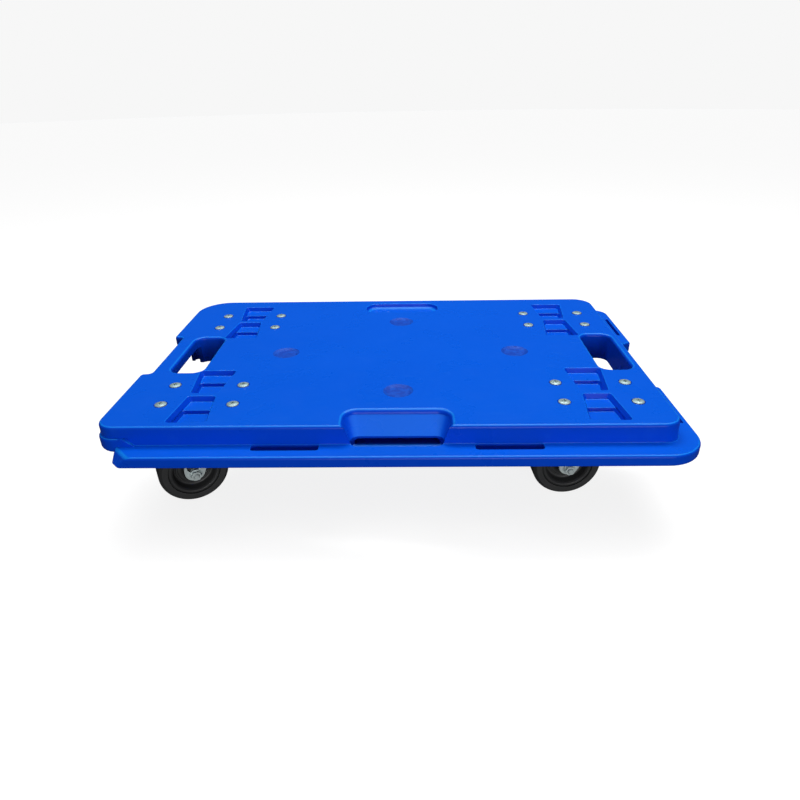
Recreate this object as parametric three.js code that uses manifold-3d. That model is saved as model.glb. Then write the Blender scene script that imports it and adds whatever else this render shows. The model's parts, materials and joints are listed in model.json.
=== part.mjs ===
// A plastic platform dolly on four swivel casters. Millimetres, +Z up, +X along the long side,
// -Y is the front. The origin is the centre of the footprint, on the floor.
import * as THREE from "three";
import { mergeVertices } from "three/addons/utils/BufferGeometryUtils.js";
import Module from "manifold-3d";

const wasm = await Module();
wasm.setup();

// ---- Driving dimensions of the casters ----

const wheelRadius = 37.5;
const tyreWidth = 30;
const tyreDepth = 10;
const tyreShoulder = 4; // how far the tread's rounded shoulder runs in
const hubStandout = 1; // how far the hub stands out of the tyre on either side
const coreInset = 2; // how far the core's rim lies inside the tyre's face
const rimThickness = 4.5; // of the core's rim
const webThickness = 8; // of the core's web
const trail = 25; // axle behind the kingpin
const wheelHeadroom = 19; // from the top of the wheel to the top of the plate
const axleRadius = 3;
const bushWall = 2.8;
const hubWall = 6.2;
const axleHexHeight = 5;
const axleHexWall = 2.6; // hexagon's corners beyond the axle
const axleFlangeWall = 0.8; // flange beyond the hexagon's corners
const axleFlangeHeight = 1.5;
const axleTip = 2; // thread that shows beyond the nut

const boltSpacingX = 75;
const boltSpacingY = 45;
const plateMargin = 10; // from a bolt hole to the plate's edge
const plateCorner = 6;
const plateThickness = 2.5;
const boltRadius = 3;
const boltHeadRadius = 6.2;
const boltHeadHeight = 2.6;
const boltNutRadius = 5.6;
const boltNutHeight = 4.6;
const boltTip = 0.6; // thread that shows beyond the nut
const boltSeatWall = 0.8; // room around a bolt head in its seat
const boltSeatDepth = 1.2;

const raceInner = 14;
const raceOuter = 23;
const raceHeight = 5;
const kingpinRadius = 6;
const kingpinHeadWall = 3; // rivet head beyond the shank
const kingpinHeadHeight = 3;
const washerWall = 5;
const washerThickness = 1.8;

const sheet = 2.5; // steel of the fork
const crownRadius = 26;
const legTopWidth = 46;
const legShoulder = 18; // height of the legs' straight edge under the crown
const legFootWall = 4.6; // fork's foot beyond the axle's flange
const legFootRise = 3.5; // middle of the foot's round above the axle
const legHeel = 8; // height of the foot's straight edge above the axle
const windowDrop = 15; // from the crown down to the legs' window
const windowRim = 6; // strand of steel beside the window
const windowRadius = 5.5;
const windowRise = 11; // from the axle up to the window's round end
const windowBehind = 2; // from the axle back to the window's round end

// ---- Driving dimensions of the deck ----

const plateToTop = 26; // from the caster plates up to the load face
const deckDepth = 32; // whole thickness of the moulding
const lapDepth = 12; // thickness of the top layer
const ledgeDrop = 20; // how far the lower ledge lies below the load face
const earDepth = 16; // thickness of the side ears, which hang from the top layer's underside
const skin = 4; // top skin of the hollow moulding
const wall = 4; // walls of the hollow moulding

const bodyLength = 553; // upright body, left face to right face
const footprintWidth = 402; // front of the ledge to back of the overhang
const frontReach = 24; // how far the ledge stands out in front of the body
const rearReach = 20; // how far the top layer overhangs at the back
const overhangReach = 20; // how far the top layer overhangs on the left
const ledgeReach = 20.5; // how far the ledge stands out on the right
const earReach = 21;
const earForward = 4; // how far the ears run past the body's front and back
const earRamp = 24; // run of the slope that ends the left ear's front
const topFillet = 3.5;
const ledgeFillet = 3;
const earFillet = 3;

const frontCorner = 20; // corner radii seen from above
const backLeftCorner = 43;
const backRightCorner = 25;
const bodyCorner = 16;
const ledgeLeftCorner = 15;
const ledgeRightCorner = 40;
const earCorner = 20;
const endCorner = 6; // where the ledge and the left ear stop beside the grips

const kingpinSideInset = 68.5; // from the body's left and right faces to the kingpins
const kingpinFrontInset = 70.25; // from the body's front
const kingpinBackInset = 66.25; // from the body's back

const holeToBolts = 34.75; // along the side, from a row of bolts to the hand hole
const handHoleWidth = 37.5;
const handHoleCorner = 12;
const holeFillet = 4;
const gripWidth = 20;
const gripReach = 8.5; // how far the left grip bar stands out from the body
const gripOverHole = 2.5; // how far the grip runs past the hole at either end
const gripCorner = 5;
const fingerGapInset = 3; // how much shorter than the hole the gap under the grip is, at either end
const rightRim = 9.5; // from the right hand hole to the body's right face

const scoopLength = 106;
const scoopReach = 33; // from the body's front to the back of the scoop
const scoopCorner = 12;
const scoopSlotLength = 93;
const scoopSlotWidth = 19.5;
const scoopSlotReach = 15; // from the body's front to the back of the slot
const scoopSlotCorner = 5;
const ledgeSlotLength = 66;
const ledgeSlotWidth = 10.5;
const ledgeSlotCorner = 3;
const ledgeSlotX = 109;
const sideSlotWidth = 4; // the narrow slots in the right ledge and the right ear
const sideSlotOutset = 13; // from the body's right face to their middle
const sideSlotFront = 38; // from the body's front to the ledge's slot
const sideSlotBack = 37; // from the ear's slot to the body's back
const sideSlotToGrip = 22;

const dishLength = 102;
const dishWidth = 37;
const dishCorner = 17;
const dishDepth = 7;
const dishSlope = 8.5; // run of the dish's sloping sides
const dishInset = 35; // from the back edge to the middle of the dish
const dimpleRadius = 16;
const dimpleSlope = 4;
const dimpleDepth = 2;
const dimpleFromKingpinX = 69; // side dimples, inwards from the kingpins
const dimpleFromKingpinY = 5.75; // front and back dimples, inwards from the kingpins

const pocketWide = 41;
const pocketNarrow = 29;
const pocketRidge = 8; // between the two pockets over a caster
const pocketRim = 10.25; // from the front pockets to the body's front
const pocketCorner = 3;
const pocketDepth = 10;
const pocketStepDepth = 6;
const pocketStepLength = 20;
const pocketSlope = 2; // run of the side walls down to the step, and again below it
const pocketEndSlope = 1.5;

const ribThickness = 3;
const cellColumns = 10;
const cellRows = 6;
const bossRadius = 9; // around each bolt, under the skin
const seatGap = 3; // around a caster plate, between the ribs

const clearance = 0.3; // between pieces that touch
const runningGap = 0.4; // between pieces that turn in each other
const past = 1; // how far a cutter runs past the face that it opens

// Each caster's corner, and the way its wheel trails at rest in degrees from +X.
const casters = [
  { name: "front_left", side: -1, end: -1, trails: 208 },
  { name: "front_right", side: 1, end: -1, trails: 184 },
  { name: "rear_left", side: -1, end: 1, trails: 196 },
  { name: "rear_right", side: 1, end: 1, trails: 181 },
];

// ---- Planes and places worked out from the driving dimensions ----

const hubWidth = tyreWidth + 2 * hubStandout;
const bushRadius = axleRadius + bushWall;
const hubRadius = bushRadius + hubWall;
const axleHexRadius = axleRadius + axleHexWall;
const axleFlangeRadius = axleHexRadius + axleFlangeWall;
const legFootRadius = axleFlangeRadius + legFootWall;
const legInner = hubWidth / 2 + 1;
const legOuter = legInner + sheet;

const plateTop = 2 * wheelRadius + wheelHeadroom;
const plateBottom = plateTop - plateThickness;
const plateLength = boltSpacingX + 2 * plateMargin;
const plateWidth = boltSpacingY + 2 * plateMargin;
const raceTop = plateBottom - clearance;
const crownTop = raceTop - raceHeight - clearance;
const crownBottom = crownTop - sheet;
const washerBottom = crownBottom - clearance - washerThickness;

const deckTop = plateTop + plateToTop;
const deckBottom = deckTop - deckDepth;
const lapBottom = deckTop - lapDepth;
const ledgeTop = deckTop - ledgeDrop;
const bodyX = bodyLength / 2;
const ledgeX = bodyX + ledgeReach;
const ledgeY = -footprintWidth / 2;
const bodyFront = ledgeY + frontReach;
const topBack = footprintWidth / 2;
const bodyBack = topBack - rearReach;
const overhangX = bodyX + overhangReach;

const kingpinX = bodyX - kingpinSideInset;
const frontKingpinY = bodyFront + kingpinFrontInset;
const backKingpinY = bodyBack - kingpinBackInset;
const middleY = (frontKingpinY + backKingpinY) / 2;
const pocketLength = kingpinFrontInset - pocketRim - pocketRidge / 2;

const holeFront = frontKingpinY + boltSpacingY / 2 + holeToBolts;
const holeBack = backKingpinY - boltSpacingY / 2 - holeToBolts;
const gripFront = holeFront - gripOverHole;
const gripBack = holeBack + gripOverHole;
const gripX = bodyX + gripReach;
const leftHoleX = -gripX + gripWidth;
const rightHoleX = bodyX - rightRim;

// ---- Making solids ----

// A closed geometry as a solid that can be joined and cut.
function solid(geometry) {
  const bare = geometry.clone();
  bare.deleteAttribute("normal");
  bare.deleteAttribute("uv");
  const merged = mergeVertices(bare, 1e-4);
  return new wasm.Manifold(
    new wasm.Mesh({
      numProp: 3,
      vertProperties: new Float32Array(merged.attributes.position.array),
      triVerts: new Uint32Array(merged.index.array),
    }),
  );
}

function joined(solids) {
  return solids.reduce((all, next) => all.add(next));
}

// An outline is a list of corners [x, y, radius], counter-clockwise. Moved inwards by any inset
// it has the same number of points, so that outlines at several heights can be joined.
function outline(corners, inset, steps) {
  const points = [];
  corners.forEach(([x, y, radius], i) => {
    const here = new THREE.Vector2(x, y);
    const [beforeX, beforeY] = corners.at(i - 1);
    const [afterX, afterY] = corners[(i + 1) % corners.length];
    const into = here.clone().sub(new THREE.Vector2(beforeX, beforeY)).normalize();
    const out = new THREE.Vector2(afterX, afterY).sub(here).normalize();
    const turn = Math.atan2(into.cross(out), into.dot(out));
    const bend = Math.sign(turn);
    const inwards = new THREE.Vector2(-into.y - out.y, into.x + out.x).divideScalar(1 + into.dot(out));
    const arc = Math.max(0.05, radius - bend * inset);
    const centre = here.addScaledVector(inwards, inset + bend * arc);
    const start = Math.atan2(-bend * into.x, bend * into.y);
    for (let k = 0; k <= steps; k++) {
      const angle = start + (turn * k) / steps;
      points.push(new THREE.Vector2(centre.x + arc * Math.cos(angle), centre.y + arc * Math.sin(angle)));
    }
  });
  return points;
}

// Joins rings of points, from the lowest to the highest, into a solid.
function loft(rings) {
  const count = rings[0].points.length;
  const last = (rings.length - 1) * count;
  const positions = rings.flatMap(({ z, points }) => points.flatMap((p) => [p.x, p.y, z]));
  const index = [];
  for (const [a, b, c] of THREE.ShapeUtils.triangulateShape(rings[0].points, [])) index.push(c, b, a);
  for (const face of THREE.ShapeUtils.triangulateShape(rings.at(-1).points, [])) {
    index.push(...face.map((corner) => last + corner));
  }
  for (let low = 0; low < last; low += count) {
    for (let i = 0; i < count; i++) {
      const j = (i + 1) % count;
      index.push(low + i, low + j, low + count + j, low + i, low + count + j, low + count + i);
    }
  }
  const geometry = new THREE.BufferGeometry();
  geometry.setAttribute("position", new THREE.Float32BufferAttribute(positions, 3));
  geometry.setIndex(index);
  return solid(geometry);
}

// Joins one outline at a low level to another at a high one.
function tapered(low, lowCorners, high, highCorners, steps = 1) {
  return loft([
    { z: low, points: outline(lowCorners, 0, steps) },
    { z: high, points: outline(highCorners, 0, steps) },
  ]);
}

// An upright slab over an outline, with its top edge rounded where it has a fillet.
function slab(corners, low, high, { fillet = 0, steps = 4 } = {}) {
  const levels = [{ z: low, inset: 0 }];
  for (const share of fillet > 0 ? [0, 1 / 2, 1] : [0]) {
    const angle = (share * Math.PI) / 2;
    levels.push({ z: high - fillet * (1 - Math.sin(angle)), inset: fillet * (1 - Math.cos(angle)) });
  }
  return loft(levels.map(({ z, inset }) => ({ z, points: outline(corners, inset, steps) })));
}

// A cutter for an opening. Its wall rises from the low outline to the high one, whose upper
// edge is rounded in the given number of rounds.
function opening(low, lowCorners, high, highCorners, { fillet, rounds = 2, steps = 4 }) {
  const rings = low.map((z) => ({ z, points: outline(lowCorners, 0, steps) }));
  for (let k = 0; k <= rounds; k++) {
    const angle = (k / rounds) * (Math.PI / 2);
    const points = outline(highCorners, -fillet * (1 - Math.cos(angle)), steps);
    rings.push({ z: high - fillet * (1 - Math.sin(angle)), points });
  }
  rings.push({ z: high + past, points: rings.at(-1).points });
  return loft(rings);
}

function rectangle(x0, x1, y0, y1, r) {
  return [
    [x0, y0, r],
    [x1, y0, r],
    [x1, y1, r],
    [x0, y1, r],
  ];
}

function centred(x, y, length, width, r) {
  return rectangle(x - length / 2, x + length / 2, y - width / 2, y + width / 2, r);
}

function block(x0, x1, y0, y1, z0, z1) {
  const geometry = new THREE.BoxGeometry(x1 - x0, y1 - y0, z1 - z0);
  return solid(geometry.translate((x0 + x1) / 2, (y0 + y1) / 2, (z0 + z1) / 2));
}

// A solid of revolution about Z, from [radius, z] points that run upwards on the outside.
function turned(profile, segments) {
  const points = profile.map(([radius, z]) => new THREE.Vector2(radius, z));
  return solid(new THREE.LatheGeometry(points, segments).rotateX(Math.PI / 2));
}

function rod(radius, low, high, segments) {
  return turned([[0, low], [radius, low], [radius, high], [0, high]], segments);
}

function tube(inner, outer, low, high, segments) {
  return turned([[inner, low], [outer, low], [outer, high], [inner, high], [inner, low]], segments);
}

// ---- The deck ----

function kingpinPlace(caster) {
  return [caster.side * kingpinX, caster.end > 0 ? backKingpinY : frontKingpinY];
}

function boltPlaces(caster) {
  const [x, y] = kingpinPlace(caster);
  return centred(x, y, boltSpacingX, boltSpacingY, 0);
}

function topLayer() {
  const edge = [
    [-overhangX, bodyFront, frontCorner],
    [bodyX, bodyFront, frontCorner],
    [bodyX, topBack, backRightCorner],
    [-overhangX, topBack, backLeftCorner],
    [-overhangX, gripBack, gripCorner],
    [-gripX, gripBack, gripCorner],
    [-gripX, gripFront, gripCorner],
    [-overhangX, gripFront, gripCorner],
  ];
  return slab(edge, lapBottom, deckTop, { fillet: topFillet });
}

function body() {
  const edge = rectangle(-bodyX, bodyX, bodyFront, bodyBack, bodyCorner);
  return slab(edge, deckBottom, deckTop - topFillet);
}

// The ledge runs in under the body far enough to be one with it.
function ledge() {
  const inside = frontReach + wall;
  const end = gripFront - earForward / 2;
  const edge = [
    [-bodyX, ledgeY, ledgeLeftCorner],
    [ledgeX, ledgeY, ledgeRightCorner],
    [ledgeX, end, endCorner],
    [bodyX - inside, end, 1],
    [bodyX - inside, bodyFront + inside, 1],
    [-bodyX, bodyFront + inside, 1],
  ];
  return slab(edge, deckBottom, ledgeTop, { fillet: ledgeFillet });
}

// The slanting lead-in at the left end of the ledge.
function leadIn() {
  const run = 21;
  const depth = 10;
  const drawn = 12; // how much shorter the bevel's run is at its lower edge
  const outside = 6;
  const corner = (length) => [
    [-bodyX - outside, ledgeY - outside, 0.1],
    [-bodyX + length + outside, ledgeY - outside, 0.1],
    [-bodyX - outside, ledgeY + length + outside, 0.1],
  ];
  return tapered(ledgeTop - depth, corner(run - drawn), ledgeTop + depth, corner(run + drawn));
}

function ears() {
  const low = lapBottom - earDepth;
  const outer = bodyX + earReach;
  const inner = bodyX - 2 * wall;
  const front = bodyFront - earForward;
  const left = [
    [-outer, front, earCorner],
    [-inner, front, 1],
    [-inner, gripFront - earForward / 2, 1],
    [-outer, gripFront - earForward / 2, endCorner],
  ];
  const right = [
    [inner, gripBack - earCorner, 0.5],
    [outer, gripBack - 1, 1.5],
    [outer, bodyBack + earForward, earCorner],
    [inner, bodyBack + earForward, 1],
  ];
  const rampAt = (run) => rectangle(-inner - wall, -inner + run, front, bodyFront + wall, 0.5);
  const rampTop = lapBottom - earFillet;
  const ramp = tapered(low, rampAt(earRamp), rampTop, rampAt((earRamp * earFillet) / earDepth));
  const rounded = { fillet: earFillet };
  return [slab(left, low, lapBottom, rounded), slab(right, low, lapBottom, rounded), ramp];
}

// The long narrow slots in the right ledge and in the right ear.
function sideSlots() {
  const x = bodyX + sideSlotOutset;
  const from = deckBottom - past;
  const half = sideSlotWidth / 2;
  const slot = (front, back) => rectangle(x - half, x + half, front, back, half * 0.9);
  const inLedge = slot(bodyFront + sideSlotFront, gripFront - sideSlotToGrip);
  const inEar = slot(gripBack + sideSlotToGrip, bodyBack - sideSlotBack);
  return [slab(inLedge, from, ledgeTop + past), slab(inEar, from, lapBottom + past)];
}

function handHoles() {
  const hole = (x) => rectangle(x, x + handHoleWidth, holeFront, holeBack, handHoleCorner);
  return { left: hole(leftHoleX), right: hole(rightHoleX - handHoleWidth) };
}

function fingerGap() {
  const [front, back] = [holeFront + fingerGapInset, holeBack - fingerGapInset];
  const edge = rectangle(-overhangX - past, leftHoleX + wall, front, back, wall);
  return slab(edge, deckBottom - past, lapBottom);
}

function scoop() {
  const slotBack = bodyFront + scoopSlotReach;
  const slotFront = slotBack - scoopSlotWidth;
  const half = scoopSlotLength / 2;
  const slot = rectangle(-half, half, slotFront, slotBack, scoopSlotCorner);
  const mouthHalf = scoopLength / 2;
  const mouth = rectangle(-mouthHalf, mouthHalf, slotFront, bodyFront + scoopReach, scoopCorner);
  return { slot, mouth };
}

function dish() {
  const y = topBack - dishInset;
  const rim = centred(0, y, dishLength, dishWidth, dishCorner);
  const floorLength = dishLength - 2 * dishSlope;
  const floorWidth = dishWidth - 2 * dishSlope;
  return { rim, floor: centred(0, y, floorLength, floorWidth, dishCorner - dishSlope) };
}

// The two pockets over a caster taper towards the ridge between them. Corners of one of them,
// between two distances from the kingpin, with its sides drawn in.
function pocketCorners(caster, end, from, to, drawnIn) {
  const [x, y] = kingpinPlace(caster);
  const halfWidth = (distance) => {
    const share = (distance - pocketRidge / 2) / pocketLength;
    return (pocketNarrow + (pocketWide - pocketNarrow) * share) / 2 - drawnIn;
  };
  const corners = [
    [x - halfWidth(from), y + from, pocketCorner],
    [x + halfWidth(from), y + from, pocketCorner],
    [x + halfWidth(to), y + to, pocketCorner],
    [x - halfWidth(to), y + to, pocketCorner],
  ];
  if (end > 0) return corners;
  return corners.map(([cx, cy, r]) => [cx, 2 * y - cy, r]).reverse();
}

// A pocket steps down away from its back wall, so its deep part starts beyond the step.
function pocket(caster, end) {
  const near = pocketRidge / 2;
  const far = near + pocketLength;
  const deepNear = end > 0 ? near : near + pocketStepLength;
  const deepFar = end > 0 ? far - pocketStepLength : far;
  const slope = pocketEndSlope;
  const stepFloor = pocketCorners(caster, end, near + slope, far - slope, pocketSlope);
  const mouth = pocketCorners(caster, end, near, far, 0);
  const deepFloor = pocketCorners(caster, end, deepNear + slope, deepFar - slope, 2 * pocketSlope - 1);
  const deepMouth = pocketCorners(caster, end, deepNear + slope / 2, deepFar - slope / 2, pocketSlope);
  const rounded = { fillet: 1, rounds: 1, steps: 1 };
  return opening([deckTop - pocketStepDepth], stepFloor, deckTop, mouth, rounded).add(
    tapered(deckTop - pocketDepth, deepFloor, deckTop - pocketStepDepth + past, deepMouth),
  );
}

function dimples() {
  const spanY = (backKingpinY - frontKingpinY) / 2 - dimpleFromKingpinY;
  const places = [
    [dimpleFromKingpinX - kingpinX, middleY],
    [kingpinX - dimpleFromKingpinX, middleY],
    [0, middleY - spanY],
    [0, middleY + spanY],
  ];
  const floor = deckTop - dimpleDepth;
  const profile = [
    [0, floor],
    [dimpleRadius - dimpleSlope, floor],
    [dimpleRadius, deckTop],
    [dimpleRadius, deckTop + past],
    [0, deckTop + past],
  ];
  return places.map(([x, y]) => turned(profile, 20).translate([x, y, 0]));
}

// The open cells of the underside, between ribs, less what has to stay solid around openings.
function cells() {
  const width = bodyLength - 2 * wall;
  const depth = bodyBack - bodyFront - 2 * wall;
  const stepX = (width + ribThickness) / cellColumns;
  const stepY = (depth + ribThickness) / cellRows;
  const open = [];
  for (let column = 0; column < cellColumns; column++) {
    for (let row = 0; row < cellRows; row++) {
      const x = -width / 2 + column * stepX;
      const y = bodyFront + wall + row * stepY;
      const [endX, endY] = [x + stepX - ribThickness, y + stepY - ribThickness];
      open.push(block(x, endX, y, endY, deckBottom - past, deckTop - skin));
    }
  }
  const inside = outline(rectangle(-bodyX, bodyX, bodyFront, bodyBack, bodyCorner), wall, 3);
  const withinWalls = loft([deckBottom - past, deckTop - skin].map((z) => ({ z, points: inside })));
  return joined(open).intersect(withinWalls).subtract(joined(keptSolid()));
}

function keptSolid() {
  const foot = deckBottom - 2 * past;
  const around = (corners, low, by, steps) =>
    loft([low, deckTop].map((z) => ({ z, points: outline(corners, -by, steps) })));
  const kept = [
    around(handHoles().left, foot, wall, 3),
    around(handHoles().right, foot, wall, 3),
    around(scoop().mouth, foot, wall, 3),
    around(dish().rim, deckTop - dishDepth - skin, wall / 2, 3),
  ];
  const near = pocketRidge / 2;
  for (const caster of casters) {
    for (const end of [-1, 1]) {
      const corners = pocketCorners(caster, end, near, near + pocketLength, 0);
      kept.push(around(corners, deckTop - pocketDepth - skin, wall / 2, 1));
    }
    for (const [x, y] of boltPlaces(caster)) {
      kept.push(rod(bossRadius, foot, deckTop, 8).translate([x, y, 0]));
    }
  }
  return kept;
}

// Room for each caster's plate between the ribs, up to the ends of the bolt bosses.
function plateSeats() {
  return casters.map((caster) => {
    const [x, y] = kingpinPlace(caster);
    const seat = centred(x, y, plateLength + 2 * seatGap, plateWidth + 2 * seatGap, plateCorner);
    return slab(seat, deckBottom - past, plateTop + clearance, { steps: 1 });
  });
}

function ledgeSlots() {
  return [-1, 1].map((side) => {
    const y = bodyFront - ledgeSlotWidth / 2;
    const slot = centred(side * ledgeSlotX, y, ledgeSlotLength, ledgeSlotWidth, ledgeSlotCorner);
    return opening([deckBottom - past], slot, ledgeTop, slot, { fillet: 1, rounds: 1, steps: 2 });
  });
}

function boltHoles() {
  const hole = [
    [0, deckBottom - past],
    [boltRadius + clearance, deckBottom - past],
    [boltRadius + clearance, deckTop - boltSeatDepth],
    [boltHeadRadius + boltSeatWall, deckTop - boltSeatDepth],
    [boltHeadRadius + boltSeatWall, deckTop + past],
    [0, deckTop + past],
  ];
  const places = casters.flatMap(boltPlaces);
  return places.map(([x, y]) => turned(hole, 12).translate([x, y, 0]));
}

function deck() {
  const holes = handHoles();
  const { slot, mouth } = scoop();
  const { rim, floor } = dish();
  const under = deckBottom - past;
  const moulding = joined([topLayer(), body(), ledge().subtract(leadIn()), ...ears()]);
  const cuts = [
    cells(),
    fingerGap(),
    opening([under], holes.left, deckTop, holes.left, { fillet: holeFillet }),
    opening([under], holes.right, deckTop, holes.right, { fillet: holeFillet }),
    opening([under, ledgeTop], slot, deckTop, mouth, { fillet: topFillet }),
    opening([deckTop - dishDepth], floor, deckTop, rim, { fillet: 2, rounds: 1 }),
    ...ledgeSlots(),
    ...sideSlots(),
    ...plateSeats(),
    ...dimples(),
    ...boltHoles(),
  ];
  for (const caster of casters) cuts.push(pocket(caster, 1), pocket(caster, -1));
  return moulding.subtract(joined(cuts));
}

// A domed bolt through deck and plate, with its nut below the plate.
function deckBolt() {
  const head = deckTop - boltSeatDepth + clearance;
  const nutTop = plateBottom - clearance;
  const tip = nutTop - boltNutHeight - boltTip;
  const bolt = turned(
    [
      [0, tip],
      [boltRadius, tip],
      [boltRadius, head],
      [boltHeadRadius, head],
      [boltHeadRadius * 0.8, head + boltHeadHeight * 0.7],
      [0, head + boltHeadHeight],
    ],
    8,
  );
  return bolt.add(rod(boltNutRadius, nutTop - boltNutHeight, nutTop, 6));
}

// ---- A caster, about its kingpin, with its wheel trailing towards +X ----

function topPlate() {
  const edge = centred(0, 0, plateLength, plateWidth, plateCorner);
  const [under, over] = [plateBottom - past, plateTop + past];
  const holes = [rod(kingpinRadius + clearance, under, over, 12)];
  for (const [x, y] of centred(0, 0, boltSpacingX, boltSpacingY, 0)) {
    holes.push(rod(boltRadius + clearance, under, over, 8).translate([x, y, 0]));
  }
  return slab(edge, plateBottom, plateTop, { steps: 2 }).subtract(joined(holes));
}

function ballRace() {
  return tube(raceInner, raceOuter, raceTop - raceHeight, raceTop, 20);
}

function kingpin() {
  const head = washerBottom - clearance;
  const headRadius = kingpinRadius + kingpinHeadWall;
  return turned(
    [
      [0, head - kingpinHeadHeight],
      [headRadius * 0.8, head - kingpinHeadHeight],
      [headRadius, head],
      [kingpinRadius, head],
      [kingpinRadius, plateTop - clearance],
      [0, plateTop - clearance],
    ],
    12,
  );
}

function kingWasher() {
  const top = washerBottom + washerThickness;
  return tube(kingpinRadius + clearance, kingpinRadius + washerWall, washerBottom, top, 12);
}

function forkLeg() {
  const half = legTopWidth / 2;
  const shape = new THREE.Shape();
  shape.moveTo(-half, crownTop);
  shape.lineTo(-half, crownTop - legShoulder);
  shape.absarc(trail, wheelRadius + legFootRise, legFootRadius, Math.PI, 2 * Math.PI, false);
  shape.lineTo(trail + legFootRadius, wheelRadius + legHeel);
  shape.lineTo(half, crownTop);
  const window = new THREE.Path();
  window.moveTo(-windowRim, crownTop - windowDrop);
  const [roundX, roundZ] = [trail + windowBehind, wheelRadius + windowRise];
  window.absarc(roundX, roundZ, windowRadius, Math.PI, 1.95 * Math.PI, false);
  window.lineTo(half - windowRim, crownTop - windowDrop);
  const bolt = new THREE.Path();
  bolt.absarc(trail, wheelRadius, axleRadius + clearance, 0, 2 * Math.PI, false);
  shape.holes.push(window, bolt);
  const options = { depth: sheet, bevelEnabled: false, curveSegments: 4 };
  return solid(new THREE.ExtrudeGeometry(shape, options).rotateX(Math.PI / 2));
}

function fork() {
  const half = legTopWidth / 2;
  const hole = rod(kingpinRadius + runningGap, crownBottom - past, crownTop + past, 12);
  const crown = rod(crownRadius, crownBottom, crownTop, 20)
    .add(block(-half, half, -legOuter, legOuter, crownBottom, crownTop))
    .subtract(hole);
  return joined([crown, forkLeg().translate([0, legOuter, 0]), forkLeg().translate([0, -legInner, 0])]);
}

// A ring about Z whose two faces are alike, from the outside of its upper half.
function ring(upperHalf, segments) {
  const lower = upperHalf.map(([radius, z]) => [radius, -z]);
  return turned([...lower, ...upperHalf.toReversed(), lower[0]], segments);
}

// The wheel and axle pieces are made about Z, which their group then turns along the axle.
function tyre() {
  const half = tyreWidth / 2;
  const outside = [
    [wheelRadius - tyreDepth, half],
    [wheelRadius - tyreShoulder, half],
    [wheelRadius - tyreShoulder / 4, half - tyreShoulder / 2],
    [wheelRadius, half - tyreShoulder],
  ];
  return ring(outside, 28);
}

function wheelCore() {
  const outer = wheelRadius - tyreDepth - clearance;
  const rim = tyreWidth / 2 - coreInset;
  const slope = 1.5; // draft of the hub and of the rim
  const outside = [
    [bushRadius + runningGap, hubWidth / 2],
    [hubRadius, hubWidth / 2],
    [hubRadius + slope, webThickness / 2],
    [outer - rimThickness - slope, webThickness / 2],
    [outer - rimThickness, rim],
    [outer, rim],
  ];
  return ring(outside, 24);
}

function axleBush() {
  const half = legInner - clearance;
  return tube(axleRadius + clearance, bushRadius, -half, half, 12);
}

function axleBolt() {
  const seat = legOuter + clearance;
  const tip = seat + axleHexHeight + axleTip;
  return rod(axleRadius, -seat, tip, 12)
    .add(rod(axleFlangeRadius, -seat - axleFlangeHeight, -seat, 12))
    .add(rod(axleHexRadius, -seat - axleHexHeight, -seat - axleFlangeHeight / 2, 6));
}

function axleNut() {
  const seat = legOuter + clearance;
  const hole = rod(axleRadius + clearance, seat - past, seat + axleHexHeight + past, 12);
  return rod(axleFlangeRadius, seat, seat + axleFlangeHeight, 12)
    .add(rod(axleHexRadius, seat + axleFlangeHeight / 2, seat + axleHexHeight, 6))
    .subtract(hole);
}

// ---- The assembly ----

const finishes = {
  deck: new THREE.MeshStandardMaterial({ color: 0x0a58d8, roughness: 0.38, metalness: 0 }),
  steel: new THREE.MeshStandardMaterial({ color: 0xc9cfcf, roughness: 0.35, metalness: 0.9 }),
  core: new THREE.MeshStandardMaterial({ color: 0x24262a, roughness: 0.5, metalness: 0 }),
  tyre: new THREE.MeshStandardMaterial({ color: 0x17181b, roughness: 0.75, metalness: 0 }),
};

function piece(name, made, finish) {
  const data = made.getMesh();
  const geometry = new THREE.BufferGeometry();
  geometry.setAttribute("position", new THREE.BufferAttribute(data.vertProperties, 3));
  geometry.setIndex(new THREE.BufferAttribute(data.triVerts, 1));
  geometry.computeVertexNormals();
  const mesh = new THREE.Mesh(geometry, finishes[finish]);
  mesh.name = name;
  return mesh;
}

function casterGroup(caster) {
  const { name, trails } = caster;
  const mounted = new THREE.Group();
  mounted.position.set(...kingpinPlace(caster), 0);
  mounted.add(
    piece(`caster_plate_${name}`, topPlate(), "steel"),
    piece(`ball_race_${name}`, ballRace(), "steel"),
    piece(`kingpin_${name}`, kingpin(), "steel"),
    piece(`king_washer_${name}`, kingWasher(), "steel"),
  );
  const swivel = new THREE.Group();
  swivel.rotation.z = THREE.MathUtils.degToRad(trails);
  swivel.add(piece(`fork_${name}`, fork(), "steel"));
  const axle = new THREE.Group();
  axle.position.set(trail, 0, wheelRadius);
  axle.rotation.x = -Math.PI / 2;
  axle.add(
    piece(`axle_bolt_${name}`, axleBolt(), "steel"),
    piece(`axle_nut_${name}`, axleNut(), "steel"),
    piece(`axle_bush_${name}`, axleBush(), "steel"),
    piece(`wheel_core_${name}`, wheelCore(), "core"),
    piece(`tyre_${name}`, tyre(), "tyre"),
  );
  swivel.add(axle);
  mounted.add(swivel);
  return mounted;
}

const dolly = new THREE.Group();
dolly.add(piece("deck", deck(), "deck"));
for (const caster of casters) {
  boltPlaces(caster).forEach(([x, y], i) => {
    const bolt = piece(`deck_bolt_${caster.name}_${i + 1}`, deckBolt(), "steel");
    bolt.position.set(x, y, 0);
    dolly.add(bolt);
  });
  dolly.add(casterGroup(caster));
}

export default dolly;
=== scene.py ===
import json
import math

import bmesh
import bpy
from mathutils import Matrix, Vector


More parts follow.
